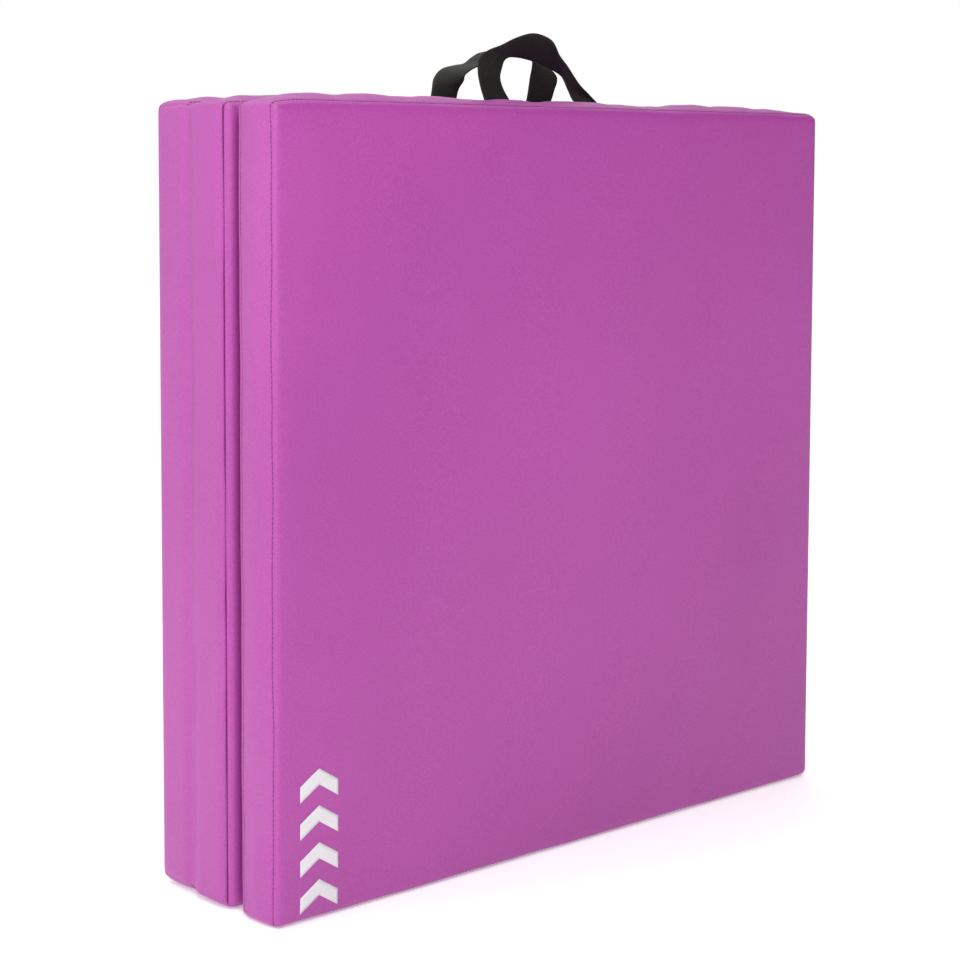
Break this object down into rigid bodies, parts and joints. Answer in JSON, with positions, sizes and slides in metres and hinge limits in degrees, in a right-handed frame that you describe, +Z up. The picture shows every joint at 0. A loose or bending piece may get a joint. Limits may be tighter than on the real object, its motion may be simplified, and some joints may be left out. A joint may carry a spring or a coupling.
{
  "type": "folding gym mat",
  "caption": "Folding gym mat of square foam panels in stitched vinyl covers, hinged in a Z and standing folded on its long edge, with webbing carry loops on the top edge.",
  "frame": {"origin": "middle of the middle panel's bottom band, on the floor that the folded mat stands on", "axes": "+X along the panels, towards the edge where the front and middle panels are hinged; +Y through the stack, from the front panel to the rear panel; +Z up, from the floor to the carry loops"},
  "size_m": [0.6111, 0.1514, 0.6641],
  "materials": {
    "cover_vinyl": "satin",
    "foam": "matte",
    "seam_thread": "matte",
    "webbing": "matte"
  },
  "bodies": {
    "middle_panel": {"front_hinge_bead": "cover_vinyl", "front_hinge_leaf_on_middle_panel": "cover_vinyl", "middle_panel_back_seam_thread": "seam_thread", "middle_panel_back_skin": "cover_vinyl", "middle_panel_bottom_band": "cover_vinyl", "middle_panel_foam_core": "foam", "middle_panel_front_seam_thread": "seam_thread", "middle_panel_front_skin": "cover_vinyl", "middle_panel_left_band": "cover_vinyl", "middle_panel_right_band": "cover_vinyl", "middle_panel_top_band": "cover_vinyl", "rear_hinge_bead": "cover_vinyl", "rear_hinge_leaf_on_middle_panel": "cover_vinyl"},
    "front_panel": {"front_handle_tails": "webbing", "front_hinge_leaf_on_front_panel": "cover_vinyl", "front_panel_back_seam_thread": "seam_thread", "front_panel_back_skin": "cover_vinyl", "front_panel_bottom_band": "cover_vinyl", "front_panel_foam_core": "foam", "front_panel_front_seam_thread": "seam_thread", "front_panel_front_skin": "cover_vinyl", "front_panel_left_band": "cover_vinyl", "front_panel_right_band": "cover_vinyl", "front_panel_top_band": "cover_vinyl"},
    "rear_panel": {"rear_handle_tails": "webbing", "rear_hinge_leaf_on_rear_panel": "cover_vinyl", "rear_panel_back_seam_thread": "seam_thread", "rear_panel_back_skin": "cover_vinyl", "rear_panel_bottom_band": "cover_vinyl", "rear_panel_foam_core": "foam", "rear_panel_front_seam_thread": "seam_thread", "rear_panel_front_skin": "cover_vinyl", "rear_panel_left_band": "cover_vinyl", "rear_panel_right_band": "cover_vinyl", "rear_panel_top_band": "cover_vinyl"},
    "front_handle": {"front_handle_loop": "webbing"},
    "rear_handle": {"rear_handle_loop": "webbing"}
  },
  "joints": [
    {"name": "front_fold", "type": "hinge", "parent": "middle_panel", "child": "front_panel", "pos_m": [0.3055, -0.024, 0.3], "axis": [0, 0, 1], "range_deg": [-0.8, 179.2]},
    {"name": "rear_fold", "type": "hinge", "parent": "middle_panel", "child": "rear_panel", "pos_m": [-0.3055, 0.024, 0.3], "axis": [0, 0, 1], "range_deg": [0, 180]},
    {"name": "front_handle_lean", "type": "hinge", "parent": "front_panel", "child": "front_handle", "pos_m": [0.00012, -0.03476, 0.6011], "axis": [0.9999, 0.014, 0], "range_deg": [-20, 88]},
    {"name": "rear_handle_lean", "type": "hinge", "parent": "rear_panel", "child": "rear_handle", "pos_m": [0, 0.0305, 0.6011], "axis": [1, 0, 0], "range_deg": [-88, 20]}
  ]
}
